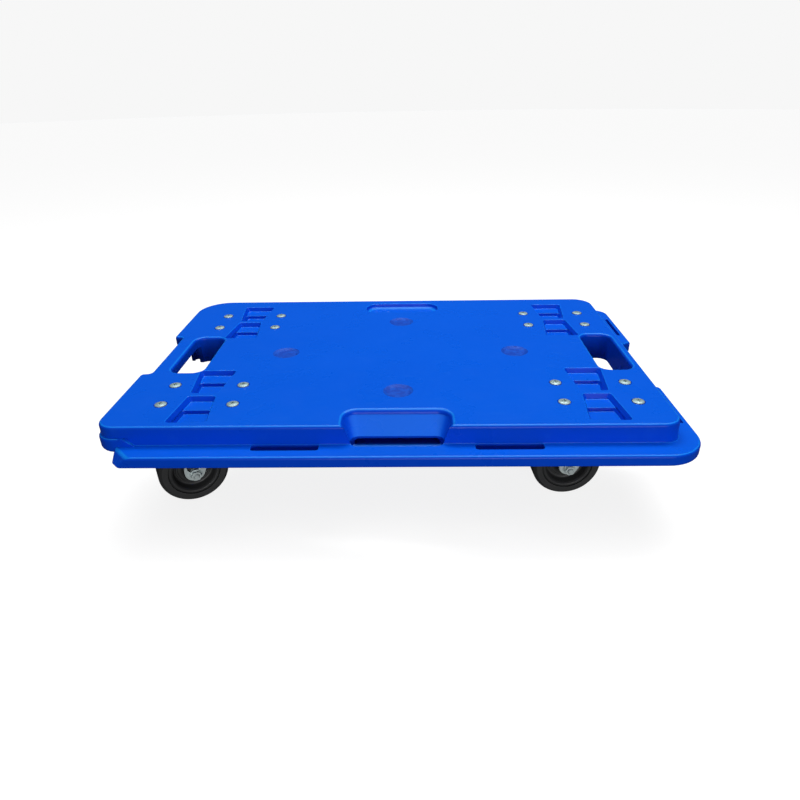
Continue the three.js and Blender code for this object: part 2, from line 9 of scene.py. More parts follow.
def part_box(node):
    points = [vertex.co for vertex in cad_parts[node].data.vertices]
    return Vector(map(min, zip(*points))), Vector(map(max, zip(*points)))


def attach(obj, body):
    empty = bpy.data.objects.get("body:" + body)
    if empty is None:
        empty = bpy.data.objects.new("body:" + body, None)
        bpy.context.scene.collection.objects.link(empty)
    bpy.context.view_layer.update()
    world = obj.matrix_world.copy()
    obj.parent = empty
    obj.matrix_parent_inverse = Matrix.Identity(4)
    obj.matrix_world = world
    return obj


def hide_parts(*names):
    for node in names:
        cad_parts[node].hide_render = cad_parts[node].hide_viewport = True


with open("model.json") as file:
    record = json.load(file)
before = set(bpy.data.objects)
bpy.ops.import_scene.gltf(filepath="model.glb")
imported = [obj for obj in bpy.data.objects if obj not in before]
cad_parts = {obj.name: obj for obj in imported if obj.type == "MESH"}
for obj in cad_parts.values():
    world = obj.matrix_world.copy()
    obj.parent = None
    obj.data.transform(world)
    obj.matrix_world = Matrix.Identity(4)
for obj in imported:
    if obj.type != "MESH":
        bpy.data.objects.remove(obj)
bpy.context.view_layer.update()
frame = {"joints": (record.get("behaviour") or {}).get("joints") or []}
scene = bpy.context.scene
joints = {joint["name"]: joint for joint in frame["joints"]}

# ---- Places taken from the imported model. Lengths are in millimetres unless they say otherwise ----

MM = 0.001
CORNERS = ["front_left", "front_right", "rear_left", "rear_right"]
LOW, HIGH = [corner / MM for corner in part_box("deck")]
DECK_TOP = HIGH.z
DECK_BOTTOM = LOW.z
EAR_REACH = 21  # how far the ears stand out past the body
BODY_X = HIGH.x - EAR_REACH
LEDGE_Y = LOW.y
TOP_BACK = HIGH.y
PLATE_LOW, PLATE_HIGH = [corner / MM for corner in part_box("caster_plate_rear_right")]
PLATE_TOP = PLATE_HIGH.z
PLATE_BOTTOM = PLATE_LOW.z
KINGPINS = {name: Vector(joints[f"swivel_turn_{name}"]["pos_m"]) / MM for name in CORNERS}
AXLES = {name: Vector(joints[f"wheel_roll_{name}"]["pos_m"]) / MM for name in CORNERS}
KINGPIN_X = KINGPINS["front_right"].x
WHEEL_RADIUS = AXLES["front_right"].z
TRAIL = (AXLES["front_right"] - KINGPINS["front_right"]).to_2d().length

# ---- Measures of the deck ----

LAP_DEPTH = 12
LEDGE_DROP = 20
EAR_DEPTH = 16
FRONT_REACH = 24
REAR_REACH = 20
OVERHANG_REACH = 20
LEDGE_REACH = 20.5
SKIN = 4
WALL = 4
PAST = 1  # how far a cutter runs past the face that it opens

LAP_BOTTOM = DECK_TOP - LAP_DEPTH
LEDGE_TOP = DECK_TOP - LEDGE_DROP
BODY_FRONT = LEDGE_Y + FRONT_REACH
BODY_BACK = TOP_BACK - REAR_REACH
OVERHANG_X = BODY_X + OVERHANG_REACH
LEDGE_X = BODY_X + LEDGE_REACH

TOP_FILLET = 3.5
LOWER_FILLET = 2
LEDGE_FILLET = 3
EAR_FILLET = 3
FOOT_COVE = 0.9  # hollow fillet where the front wall meets the ledge
COLLAR = 2.2  # how far the rims of the hand holes stand out below

BOLT_X = 37.5  # half of the distance between a caster's bolts, each way
BOLT_Y = 22.5
BOLTS_TO_HOLE = 34.75
HOLE_FRONT = KINGPINS["front_left"].y + BOLT_Y + BOLTS_TO_HOLE
HOLE_BACK = KINGPINS["rear_left"].y - BOLT_Y - BOLTS_TO_HOLE
HOLE_WIDTH = 37.5
HOLE_CORNER = 12
HOLE_FILLET = 4
HOLE_STEPS = 12
NOTCH_PAST_HOLE = 2.5
GRIP_FRONT = HOLE_FRONT - NOTCH_PAST_HOLE
GRIP_BACK = HOLE_BACK + NOTCH_PAST_HOLE
GRIP_REACH = 8.5
GRIP_X = BODY_X + GRIP_REACH
GRIP_BAR = 20
RIGHT_RIM = 9.5
LEFT_HOLE_X = GRIP_BAR - GRIP_X
RIGHT_HOLE_X = BODY_X - RIGHT_RIM - HOLE_WIDTH
HOLE_LEFT_EDGES = [LEFT_HOLE_X, RIGHT_HOLE_X]
MIDDLE_Y = (HOLE_FRONT + HOLE_BACK) / 2

POCKET_RIDGE = 8
POCKET_LENGTH = 56
POCKET_WIDE = 41
POCKET_NARROW = 29
POCKET_STEP = 20
POCKET_STEP_DEPTH = 6
POCKET_DEPTH = 10
POCKET_SLOPE = 2
POCKET_EASE = 1.5  # how far the ends of a pocket's floors draw in

BOLT_HEAD_RADIUS = 6.2
BOLT_SEAT_RADIUS = 7
BOLT_SEAT_DEPTH = 1.2
BOLT_RADIUS = 3
BOSS_RADIUS = 9
DIMPLE_RADIUS = 16
DIMPLE_DEPTH = 2
DIMPLE_X = KINGPIN_X - 69
DIMPLE_SPREAD = 105
DIMPLES = [
    (-DIMPLE_X, MIDDLE_Y),
    (DIMPLE_X, MIDDLE_Y),
    (0, MIDDLE_Y - DIMPLE_SPREAD),
    (0, MIDDLE_Y + DIMPLE_SPREAD),
]
DISH_DEPTH = 7
GAP = 0.3  # what touching pieces keep between them
CELL_COLUMNS = 10
CELL_ROWS = 6
RIB = 3

# ---- Measures of the casters ----

RACE_TOP = PLATE_BOTTOM - GAP
RACE_BOTTOM = RACE_TOP - 5
RACE_INNER = 14
RACE_OUTER = 23
CUP_HEIGHT = 1.6
BALL_COUNT = 20
BALL_RADIUS = 2.3
BALL_CIRCLE = 18.6
CROWN_TOP = RACE_BOTTOM - GAP
WASHER_HEIGHT = 1.8
SHEET = 2.5
CROWN_BOTTOM = CROWN_TOP - SHEET
LEG_INNER = 17
LEG_OUTER = LEG_INNER + SHEET
TYRE_HALF = 15
HUB_HALF = 16
AXLE_RADIUS = 3
HEX_RADIUS = 5.6
FLANGE_RADIUS = 6.4
TYRE_WALL = 10


# ---- Making meshes ----


def mesh_object(name, bm):
    bmesh.ops.scale(bm, vec=(MM, MM, MM), verts=bm.verts)
    mesh = bpy.data.meshes.new(name)
    bm.to_mesh(mesh)
    bm.free()
    piece = bpy.data.objects.new(name, mesh)
    scene.collection.objects.link(piece)
    return piece


def outline(corners, inset=0.0, steps=None):
    """Points of an outline of corners (x, y, radius), counter-clockwise, moved inwards by the inset.
    A corner always gives the same number of points, so that outlines can be lofted to each other."""
    points = []
    for i, (x, y, radius) in enumerate(corners):
        here = Vector((x, y))
        into = (here - Vector(corners[i - 1][:2])).normalized()
        out = (Vector(corners[(i + 1) % len(corners)][:2]) - here).normalized()
        turn = math.atan2(into.x * out.y - into.y * out.x, into.dot(out))
        bend = math.copysign(1, turn)
        inwards = Vector((-into.y - out.y, into.x + out.x)) / (1 + into.dot(out))
        if radius == 0:
            points.append(here + inwards * inset)
            continue
        count = steps or max(3, min(14, round(2 + radius / 2)))
        arc = max(0.02, radius - bend * inset)
        centre = here + inwards * (inset + bend * arc)
        start = math.atan2(-bend * into.x, bend * into.y)
        for k in range(count + 1):
            angle = start + turn * k / count
            points.append(centre + arc * Vector((math.cos(angle), math.sin(angle))))
    return points


def loft_into(bm, rings):
    """Adds a closed solid through rings (z, points), from the lowest to the highest."""
    rows = [[bm.verts.new((p[0], p[1], z)) for p in points] for z, points in rings]
    for low, high in zip(rows, rows[1:]):
        for i in range(len(low)):
            j = (i + 1) % len(low)
            bm.faces.new((low[i], low[j], high[j], high[i]))
    bm.faces.new(reversed(rows[0]))
    bm.faces.new(rows[-1])


def loft(name, *solids):
    bm = bmesh.new()
    for rings in solids:
        loft_into(bm, rings)
    return mesh_object(name, bm)


def quarter(count):
    """Shares of a quarter round: (how far along, how far in) for each of its steps."""
    angles = [k / count * math.pi / 2 for k in range(count + 1)]
    return [(math.sin(angle), 1 - math.cos(angle)) for angle in angles]


def levels(low, high, top=0.0, bottom=0.0):
    """Heights of an upright slab's rings and how far they draw in, where its edges are rounded."""
    foot = [(low + bottom * (1 - up), bottom * inn) for up, inn in reversed(quarter(4))]
    head = [(high - top * (1 - up), top * inn) for up, inn in quarter(7)]
    return (foot if bottom else [(low, 0)]) + (head if top else [(high, 0)])


def slab(corners, low, high, top=0.0, bottom=0.0):
    return [(z, outline(corners, inset)) for z, inset in levels(low, high, top, bottom)]


def opening(low, low_corners, high, high_corners, fillet, flare=0.0, cove=0.0, steps=10):
    """Rings of a cutter. Its wall rises from one outline to another; the upper edge of the opening
    is rounded, its lower edge flares where it is cut through, or has a cove where it has a floor."""
    rings = []
    if flare:
        rings.append((low - PAST, outline(low_corners, -flare, steps)))
        for up, inn in quarter(3):
            rings.append((low + flare * up, outline(low_corners, -flare * (1 - up), steps)))
    elif cove:
        for up, inn in quarter(4):
            rings.append((low + cove * inn, outline(low_corners, cove * (1 - up), steps)))
    else:
        rings.append((low, outline(low_corners, 0, steps)))
    for up, inn in quarter(5):
        rings.append((high - fillet * (1 - up), outline(high_corners, -fillet * inn, steps)))
    rings.append((high + PAST, outline(high_corners, -fillet, steps)))
    return rings


def rectangle(x0, x1, y0, y1, r=0.0):
    return [(x0, y0, r), (x1, y0, r), (x1, y1, r), (x0, y1, r)]


def centred(x, y, length, width, r=0.0):
    return rectangle(x - length / 2, x + length / 2, y - width / 2, y + width / 2, r)


def turned_into(bm, points, segments, at=(0, 0), turn=0.0):
    """Adds a solid of revolution about Z, from the (radius, z) points of its closed section,
    counter-clockwise with the radius to the right."""
    columns = []
    for radius, z in points:
        if radius < 1e-6:
            columns.append([bm.verts.new((at[0], at[1], z))] * segments)
            continue
        column = []
        for k in range(segments):
            angle = turn + 2 * math.pi * k / segments
            x = at[0] + radius * math.cos(angle)
            y = at[1] + radius * math.sin(angle)
            column.append(bm.verts.new((x, y, z)))
        columns.append(column)
    for i, low in enumerate(columns):
        high = columns[(i + 1) % len(columns)]
        for k in range(segments):
            j = (k + 1) % segments
            corners = []
            for vertex in (low[k], low[j], high[j], high[k]):
                if vertex not in corners:
                    corners.append(vertex)
            if len(corners) > 2:
                bm.faces.new(corners)


def turned(name, corners, segments=48, places=((0, 0),), turn=0.0, steps=3):
    """A solid of revolution from a section of corners (radius, z, rounding), at each place."""
    bm = bmesh.new()
    points = outline(corners, 0, steps)
    for place in places:
        turned_into(bm, points, segments, place, turn)
    return mesh_object(name, bm)


def rod_section(radius, low, high, chamfer=0.0):
    return [(0, low, 0), (radius, low, chamfer), (radius, high, chamfer), (0, high, 0)]


def combine(target, tools, operation):
    """Joins tools to the target or cuts them out of it, and removes them."""
    for tool in tools:
        modifier = target.modifiers.new("combine", "BOOLEAN")
        modifier.operation = operation
        modifier.solver = "MANIFOLD"
        modifier.object = tool
    depsgraph = bpy.context.evaluated_depsgraph_get()
    mesh = bpy.data.meshes.new_from_object(target.evaluated_get(depsgraph))
    target.modifiers.clear()
    target.data = mesh
    for tool in tools:
        bpy.data.objects.remove(tool)
    return target


def joined(target, *tools):
    return combine(target, tools, "UNION")


def cut(target, *tools):
    return combine(target, tools, "DIFFERENCE")


def shared(target, *tools):
    return combine(target, tools, "INTERSECT")


def bevelled(piece, width, limit=40, segments=2):
    modifier = piece.modifiers.new("edges", "BEVEL")
    modifier.width = width * MM
    modifier.segments = segments
    modifier.limit_method = "ANGLE"
    modifier.angle_limit = math.radians(limit)
    modifier.use_clamp_overlap = True
    return piece


def smooth(piece, limit=32):
    """Smooth shading, with edges sharper than the limit left sharp and flat faces kept flat."""
    bm = bmesh.new()
    bm.from_mesh(piece.data)
    bmesh.ops.remove_doubles(bm, verts=bm.verts, dist=1e-6)
    for face in bm.faces:
        face.smooth = True
    for edge in bm.edges:
        flat = edge.is_manifold and edge.calc_face_angle(0) < math.radians(limit)
        edge.smooth = flat
    bm.to_mesh(piece.data)
    bm.free()
    modifier = piece.modifiers.new("flat faces", "WEIGHTED_NORMAL")
    modifier.keep_sharp = True
    return piece


def placed(piece, matrix):
    """Moves the mesh itself, so that the object stays at the origin."""
    moved = matrix.copy()
    moved.translation = moved.translation * MM
    piece.data.transform(moved)
    return piece


# ---- Materials ----


class Material:
    """A principled material with short calls for the nodes that this file uses."""

    def __init__(self, name, **values):
        self.material = bpy.data.materials.new(name)
        self.material.use_nodes = True
        self.tree = self.material.node_tree
        self.shader = self.tree.nodes["Principled BSDF"]
        for socket, value in values.items():
            self.shader.inputs[socket.replace("_", " ")].default_value = value
        coordinates = self.tree.nodes.new("ShaderNodeTexCoord")
        self.place = coordinates.outputs["Object"]
        self.facing = self.tree.nodes.new("ShaderNodeNewGeometry").outputs["Normal"]

    def node(self, kind, links=None, **values):
        node = self.tree.nodes.new("ShaderNode" + kind)
        for name, value in values.items():
            if hasattr(node, name):
                setattr(node, name, value)
            else:
                node.inputs[name.replace("_", " ")].default_value = value
        for name, output in (links or {}).items():
            self.tree.links.new(output, node.inputs[name])
        return node

    def noise(self, scale, detail=2.0, stretch=None, roughness=0.5):
        place = self.place
        if stretch:
            place = self.node("Mapping", {"Vector": place}, Scale=stretch).outputs["Vector"]
        links = {"Vector": place}
        return self.node("TexNoise", links, Scale=scale, Detail=detail, Roughness=roughness).outputs["Fac"]

    def ramp(self, factor, low, high, from_value, to_value):
        node = self.node("MapRange", {"Value": factor})
        node.inputs["From Min"].default_value = low
        node.inputs["From Max"].default_value = high
        node.inputs["To Min"].default_value = from_value
        node.inputs["To Max"].default_value = to_value
        return node.outputs["Result"]

    def mix(self, factor, first, second):
        node = self.node("Mix", data_type="RGBA")
        self.tree.links.new(factor, node.inputs["Factor"])
        for socket, colour in ((node.inputs[6], first), (node.inputs[7], second)):
            if isinstance(colour, tuple):
                socket.default_value = (*colour, 1)
            else:
                self.tree.links.new(colour, socket)
        return node.outputs[2]

    def bump(self, height, strength, distance, under=None):
        links = {"Height": height}
        if under:
            links["Normal"] = under
        return self.node("Bump", links, Strength=strength, Distance=distance).outputs["Normal"]

    def set(self, socket, output):
        self.tree.links.new(output, self.shader.inputs[socket])


def blue_plastic():
    made = Material("deck_plastic", Specular_IOR_Level=0.16)
    broad = made.noise(5.0)
    # Painted shade: upright walls get a darker blue than faces that look up. This shade is painted in for
    # the light falling from above, and the two blues are mixed by how far the surface faces up.
    wall = made.mix(broad, (0.0, 0.060, 0.68), (0.0, 0.072, 0.74))
    face = made.mix(broad, (0.0, 0.104, 0.76), (0.0, 0.122, 0.83))
    upward = made.node("SeparateXYZ", {"Vector": made.facing}).outputs["Z"]
    colour = made.mix(made.ramp(upward, 0.6, 0.98, 0.0, 1.0), wall, face)
    # Painted highlight: the rounded edges between the walls and the top faces are lightened towards pale
    # blue. This is a highlight painted onto the fillets where the lamps would glint.
    rounded = made.ramp(upward, 0.72, 0.86, 0.0, 0.5)
    flat = made.ramp(upward, 0.93, 0.99, 1.0, 0.0)
    edges = made.node("Math", operation="MULTIPLY")
    made.tree.links.new(rounded, edges.inputs[0])
    made.tree.links.new(flat, edges.inputs[1])
    colour = made.mix(edges.outputs[0], colour, (0.01, 0.34, 1.0))
    haze = made.ramp(made.noise(60.0, 5.0, (1, 3, 1)), 0.55, 0.75, 0.0, 0.05)
    colour = made.mix(haze, colour, (0.05, 0.26, 0.8))
    made.set("Base Color", colour)
    made.set("Roughness", made.ramp(made.noise(24.0, 4.0), 0.3, 0.7, 0.25, 0.34))
    made.set("Normal", made.bump(made.noise(170.0, 1.0), 0.04, 0.0004))
    return made.material


def stippled_plastic():
    made = Material("stippled_plastic", Specular_IOR_Level=0.25)
    blotches = made.ramp(made.noise(190.0, 3.0), 0.42, 0.6, 0.0, 1.0)
    made.set("Base Color", made.mix(blotches, (0.0, 0.06, 0.50), (0.0, 0.09, 0.62)))
    made.set("Roughness", made.ramp(made.noise(300.0), 0.3, 0.7, 0.5, 0.65))
    pits = made.node("TexVoronoi", {"Vector": made.place}, Scale=650.0).outputs["Distance"]
    made.set("Normal", made.bump(pits, 0.35, 0.0005))
    return made.material


def zinc(name, darker, paler):
    made = Material(name, Metallic=0.45)
    made.set("Base Color", made.mix(made.noise(140.0, 3.0), darker, paler))
    made.set("Roughness", made.ramp(made.noise(420.0, 4.0), 0.3, 0.7, 0.42, 0.6))
    grain = made.bump(made.noise(900.0, 2.0, (1, 1, 6)), 0.08, 0.0002)
    made.set("Normal", grain)
    return made.material


def wheel_plastic():
    made = Material("wheel_plastic")
    made.set("Base Color", made.mix(made.noise(80.0), (0.030, 0.031, 0.032), (0.042, 0.043, 0.045)))
    made.set("Roughness", made.ramp(made.noise(150.0, 3.0), 0.3, 0.7, 0.36, 0.5))
    made.set("Normal", made.bump(made.noise(1200.0), 0.08, 0.0002))
    return made.material


def tyre_rubber():
    made = Material("tyre_rubber", Specular_IOR_Level=0.4)
    dust = made.ramp(made.noise(55.0, 5.0), 0.45, 0.8, 0.0, 0.5)
    made.set("Base Color", made.mix(dust, (0.034, 0.035, 0.036), (0.058, 0.058, 0.058)))
    made.set("Roughness", made.ramp(made.noise(200.0, 3.0), 0.3, 0.7, 0.55, 0.72))
    made.set("Normal", made.bump(made.noise(1600.0, 2.0), 0.15, 0.0002))
    return made.material


BLUE = blue_plastic()
STIPPLED = stippled_plastic()
ZINC = zinc("zinc_steel", (0.62, 0.72, 0.72), (0.76, 0.84, 0.84))
DULL_ZINC = zinc("dull_zinc", (0.30, 0.42, 0.42), (0.44, 0.56, 0.56))
WHEEL_PLASTIC = wheel_plastic()
RUBBER = tyre_rubber()


# ---- The deck ----


def top_layer():
    edge = [
        (-OVERHANG_X, BODY_FRONT, 20),
        (BODY_X, BODY_FRONT, 20),
        (BODY_X, TOP_BACK, 25),
        (-OVERHANG_X, TOP_BACK, 43),
        (-OVERHANG_X, GRIP_BACK, 5),
        (-GRIP_X, GRIP_BACK, 5),
        (-GRIP_X, GRIP_FRONT, 5),
        (-OVERHANG_X, GRIP_FRONT, 5),
    ]
    return loft("deck_moulding", slab(edge, LAP_BOTTOM, DECK_TOP, TOP_FILLET, 0.6))


def body():
    """The upright walls, whose corners open out a little from the foot to the top layer."""
    foot = rectangle(-BODY_X, BODY_X, BODY_FRONT, BODY_BACK, 16)
    head = rectangle(-BODY_X, BODY_X, BODY_FRONT, BODY_BACK, 20)
    rings = [(DECK_BOTTOM + 1 - up, outline(foot, inn, 12)) for up, inn in reversed(quarter(3))]
    return loft("body", [*rings, (DECK_TOP - TOP_FILLET, outline(head, 0, 12))])


def foot_cove():
    """The hollow fillet that the front wall stands in."""
    edge = rectangle(2 * FOOT_COVE - BODY_X, BODY_X, BODY_FRONT, GRIP_FRONT - 12, 16)
    rings = [(LEDGE_TOP - PAST, outline(edge, -FOOT_COVE, 12))]
    for up, inn in quarter(4):
        rings.append((LEDGE_TOP + FOOT_COVE * inn, outline(edge, FOOT_COVE * (up - 1), 12)))
    return loft("foot_cove", rings)


def ledge():
    """The lower ledge. Its left corner is cut across, further at the top than at the foot."""
    inside = FRONT_REACH + WALL
    end = GRIP_FRONT - 2
    cut_top, cut_foot, cut_depth = 21, 9, 10
    rings = []
    for z, inset in levels(DECK_BOTTOM, LEDGE_TOP, LEDGE_FILLET, LOWER_FILLET):
        share = min(1, (LEDGE_TOP - z) / cut_depth)
        across_corner = cut_top + (cut_foot - cut_top) * share
        edge = [
            (-BODY_X, LEDGE_Y + across_corner, 6),
            (-BODY_X + across_corner, LEDGE_Y, 6),
            (LEDGE_X, LEDGE_Y, 40),
            (LEDGE_X, end, 6),
            (BODY_X - inside, end, 1),
            (BODY_X - inside, BODY_FRONT + inside, 1),
            (-BODY_X, BODY_FRONT + inside, 1),
        ]
        rings.append((z, outline(edge, inset)))
    return loft("ledge", rings)


def ears():
    low = LAP_BOTTOM - EAR_DEPTH
    outer = BODY_X + EAR_REACH
    inner = BODY_X - 2 * WALL
    front = BODY_FRONT - 3
    left = [
        (-outer, front, 20),
        (-inner, front, 1),
        (-inner, GRIP_FRONT - 2, 1),
        (-outer, GRIP_FRONT - 2, 6),
    ]
    right = [
        (inner, GRIP_BACK - 20, 1),
        (outer, GRIP_BACK - 1, 2),
        (outer, BODY_BACK + 4, 20),
        (inner, BODY_BACK + 4, 1),
    ]

    def ramp_at(run):
        return outline(rectangle(-inner - WALL, run - inner, front, BODY_FRONT + WALL, 0.6))

    ramp = [(low, ramp_at(24)), (LAP_BOTTOM - 2.5, ramp_at(3.8)), (LAP_BOTTOM, ramp_at(1))]
    return [
        loft("ear_left", slab(left, low, LAP_BOTTOM, 2.5, 5)),
        loft("ear_right", slab(right, low, LAP_BOTTOM, EAR_FILLET, 4)),
        loft("ear_ramp", ramp),
    ]


def pocket_corners(name, end, from_y, to_y, drawn_in):
    x, y = KINGPINS[name].to_2d()

    def half_width(distance):
        share = (distance - POCKET_RIDGE / 2) / POCKET_LENGTH
        return (POCKET_NARROW + (POCKET_WIDE - POCKET_NARROW) * share) / 2 - drawn_in

    corners = [
        (x - half_width(from_y), y + from_y, 3),
        (x + half_width(from_y), y + from_y, 3),
        (x + half_width(to_y), y + to_y, 3),
        (x - half_width(to_y), y + to_y, 3),
    ]
    if end > 0:
        return corners
    return [(cx, 2 * y - cy, r) for cx, cy, r in reversed(corners)]


def pockets():
    """Cutters for the stepped pockets: their upper parts, and their deeper parts."""
    near = POCKET_RIDGE / 2
    far = near + POCKET_LENGTH
    step_z = DECK_TOP - POCKET_STEP_DEPTH
    floor_z = DECK_TOP - POCKET_DEPTH
    upper, deeper = [], []
    for name in CORNERS:
        for end in (-1, 1):
            deep_near = near if end > 0 else near + POCKET_STEP
            deep_far = far - POCKET_STEP if end > 0 else far
            mouth = pocket_corners(name, end, near, far, 0)
            step = pocket_corners(name, end, near + POCKET_EASE, far - POCKET_EASE, POCKET_SLOPE)
            upper.append(opening(step_z, step, DECK_TOP, mouth, 1.2, cove=1.6, steps=4))
            rim = pocket_corners(name, end, deep_near + 0.8, deep_far - 0.8, POCKET_SLOPE)
            ends = (deep_near + POCKET_EASE, deep_far - POCKET_EASE)
            floor = pocket_corners(name, end, *ends, 2 * POCKET_SLOPE - 1)
            deeper.append(opening(floor_z, floor, step_z, rim, 1, cove=1.2, steps=4))
    return [loft("pockets_upper", *upper), loft("pockets_deeper", *deeper)]


def bolt_places():
    places = []
    for name in CORNERS:
        x, y = KINGPINS[name].to_2d()
        places += [(cx, cy) for cx, cy, _ in centred(x, y, 2 * BOLT_X, 2 * BOLT_Y)]
    return places


def scoop_outlines():
    slot_back = BODY_FRONT + 15
    slot_front = slot_back - 19.5
    slot = rectangle(-46.5, 46.5, slot_front, slot_back, 9)
    mouth = rectangle(-53, 53, slot_front, BODY_FRONT + 33, 13)
    return slot, mouth


def dish_outline():
    return centred(0, TOP_BACK - 35, 102, 37, 17)


def hand_hole(x):
    return rectangle(x, x + HOLE_WIDTH, HOLE_FRONT, HOLE_BACK, HOLE_CORNER)


def through_cuts():
    """Everything that goes right through the moulding, in one set of separate shapes."""
    shapes = []
    for x in HOLE_LEFT_EDGES:
        hole = hand_hole(x)
        foot_z = DECK_BOTTOM - COLLAR
        shapes.append(opening(foot_z, hole, DECK_TOP, hole, HOLE_FILLET, flare=0.6, steps=HOLE_STEPS))
    slot, mouth = scoop_outlines()
    slot_wall = outline(slot, 0, 10)
    lip = outline([(x, min(y, slot[2][1] - 4.5), r - 2) for x, y, r in slot], 0, 10)
    lip_rings = [(DECK_BOTTOM - PAST, lip), (DECK_BOTTOM + 2.5, lip)]
    slot_rings = [(DECK_BOTTOM + 4, slot_wall), (LEDGE_TOP - 1.5, slot_wall)]
    shapes.append(lip_rings + slot_rings + opening(LEDGE_TOP, slot, DECK_TOP, mouth, 5))
    for side in (-1, 1):
        ledge_slot = centred(side * 109, BODY_FRONT - 5.25, 66, 10.5, 3)
        shapes.append(opening(DECK_BOTTOM, ledge_slot, LEDGE_TOP, ledge_slot, 0.8, flare=1, steps=5))
    x = BODY_X + 13
    in_ledge = rectangle(x - 2, x + 2, BODY_FRONT + 38, GRIP_FRONT - 22, 1.9)
    in_ear = rectangle(x - 2, x + 2, GRIP_BACK + 22, BODY_BACK - 37, 1.9)
    shapes.append(opening(DECK_BOTTOM, in_ledge, LEDGE_TOP, in_ledge, 0.6, flare=0.6, steps=5))
    shapes.append(opening(LAP_BOTTOM - EAR_DEPTH, in_ear, LAP_BOTTOM, in_ear, 0.6, flare=0.6, steps=5))
    return loft("through_cuts", *shapes)


def hollow_behind_scoop():
    """The moulding is hollow behind the scoop's slot, up to a skin under the sloping floor."""
    slot, mouth = scoop_outlines()
    front = slot[2][1] - 2
    back = mouth[2][1] + 1
    half = slot[1][0] - 2
    low = outline(rectangle(-half, half, front, back, 3))
    high = outline(rectangle(-half, half, back - 7, back, 3))
    return loft("hollow", [(DECK_BOTTOM + 2, low), (LEDGE_TOP - 4, low), (LEDGE_TOP + 8, high)])


def dish():
    """A shallow bowl with a rounded rim, whose sides curve down into its floor."""
    edge = dish_outline()
    run, rim = 10, 1.6
    rings = []
    for up, inn in quarter(9):
        z = DECK_TOP - rim - (DISH_DEPTH - rim) * (1 - inn)
        rings.append((z, outline(edge, run * (1 - up), 12)))
    for up, inn in quarter(4)[1:]:
        rings.append((DECK_TOP - rim * (1 - up), outline(edge, -rim * inn, 12)))
    rings.append((DECK_TOP + PAST, outline(edge, -rim, 12)))
    return loft("dish", rings)


def dimples():
    floor = DECK_TOP - DIMPLE_DEPTH
    section = [
        (0, floor, 0),
        (DIMPLE_RADIUS - 4, floor, 2.5),
        (DIMPLE_RADIUS, DECK_TOP - 0.1, 0),
        (DIMPLE_RADIUS, DECK_TOP + PAST, 0),
        (0, DECK_TOP + PAST, 0),
    ]
    return turned("dimples", section, 48, DIMPLES, steps=5)


def cells():
    """The hollows between the ribs of the underside. They narrow a little towards the skin."""
    width = 2 * BODY_X - 2 * WALL
    depth = BODY_BACK - BODY_FRONT - 2 * WALL
    step_x = (width + RIB) / CELL_COLUMNS
    step_y = (depth + RIB) / CELL_ROWS
    draft = 0.5
    solids = []
    for column in range(CELL_COLUMNS):
        for row in range(CELL_ROWS):
            x = -width / 2 + column * step_x
            y = BODY_FRONT + WALL + row * step_y
            cell = rectangle(x, x + step_x - RIB, y, y + step_y - RIB, 2.5)
            rings = [
                (DECK_BOTTOM - PAST, outline(cell, -0.8)),
                (DECK_BOTTOM, outline(cell, -0.8)),
                (DECK_BOTTOM + 0.3, outline(cell, -0.3)),
                (DECK_BOTTOM + 1, outline(cell, 0)),
                (DECK_TOP - SKIN - 1.5, outline(cell, draft)),
                (DECK_TOP - SKIN - 0.5, outline(cell, draft + 0.4)),
                (DECK_TOP - SKIN, outline(cell, draft + 1.4)),
            ]
            solids.append(rings)
    inside = outline(rectangle(-BODY_X, BODY_X, BODY_FRONT, BODY_BACK, 20), WALL, 12)
    within_walls = loft("within_walls", [(DECK_BOTTOM - 2 * PAST, inside), (DECK_TOP, inside)])
    return cut(shared(loft("cells", *solids), within_walls), *kept_solid())


def kept_solid():
    """What stays solid under the skin: around the openings, the pockets and the bolts."""
    foot = DECK_BOTTOM - 2 * PAST

    def around(corners, low, by, steps=6):
        return [(low, outline(corners, -by, steps)), (DECK_TOP, outline(corners, -by, steps))]

    _, mouth = scoop_outlines()
    openings = [
        around(hand_hole(LEFT_HOLE_X), foot, WALL),
        around(hand_hole(RIGHT_HOLE_X), foot, WALL),
        around(mouth, foot, WALL),
        around(dish_outline(), DECK_TOP - DISH_DEPTH - SKIN, WALL / 2),
    ]
    near = POCKET_RIDGE / 2
    under_pockets = []
    for name in CORNERS:
        for end in (-1, 1):
            corners = pocket_corners(name, end, near, near + POCKET_LENGTH, 0)
            under_pockets.append(around(corners, DECK_TOP - POCKET_DEPTH - SKIN, WALL / 2, 3))
    bosses = turned("bosses", rod_section(BOSS_RADIUS, foot, DECK_TOP), 28, bolt_places())
    return [loft("around_openings", *openings), loft("under_pockets", *under_pockets), bosses]


def plate_seats():
    length = PLATE_HIGH.x - PLATE_LOW.x + 6
    width = PLATE_HIGH.y - PLATE_LOW.y + 6
    seats = []
    for name in CORNERS:
        x, y = KINGPINS[name].to_2d()
        seats.append(slab(centred(x, y, length, width, 6), DECK_BOTTOM - PAST, PLATE_TOP + GAP))
    return loft("plate_seats", *seats)


def bolt_holes():
    section = [
        (0, DECK_BOTTOM - PAST, 0),
        (BOLT_RADIUS + 0.3, DECK_BOTTOM - PAST, 0),
        (BOLT_RADIUS + 0.3, DECK_TOP - BOLT_SEAT_DEPTH, 0),
        (BOLT_SEAT_RADIUS, DECK_TOP - BOLT_SEAT_DEPTH, 0),
        (BOLT_SEAT_RADIUS, DECK_TOP - 0.3, 0),
        (BOLT_SEAT_RADIUS + 0.4, DECK_TOP + 0.1, 0),
        (BOLT_SEAT_RADIUS + 0.4, DECK_TOP + PAST, 0),
        (0, DECK_TOP + PAST, 0),
    ]
    return turned("bolt_holes", section, 32, bolt_places())


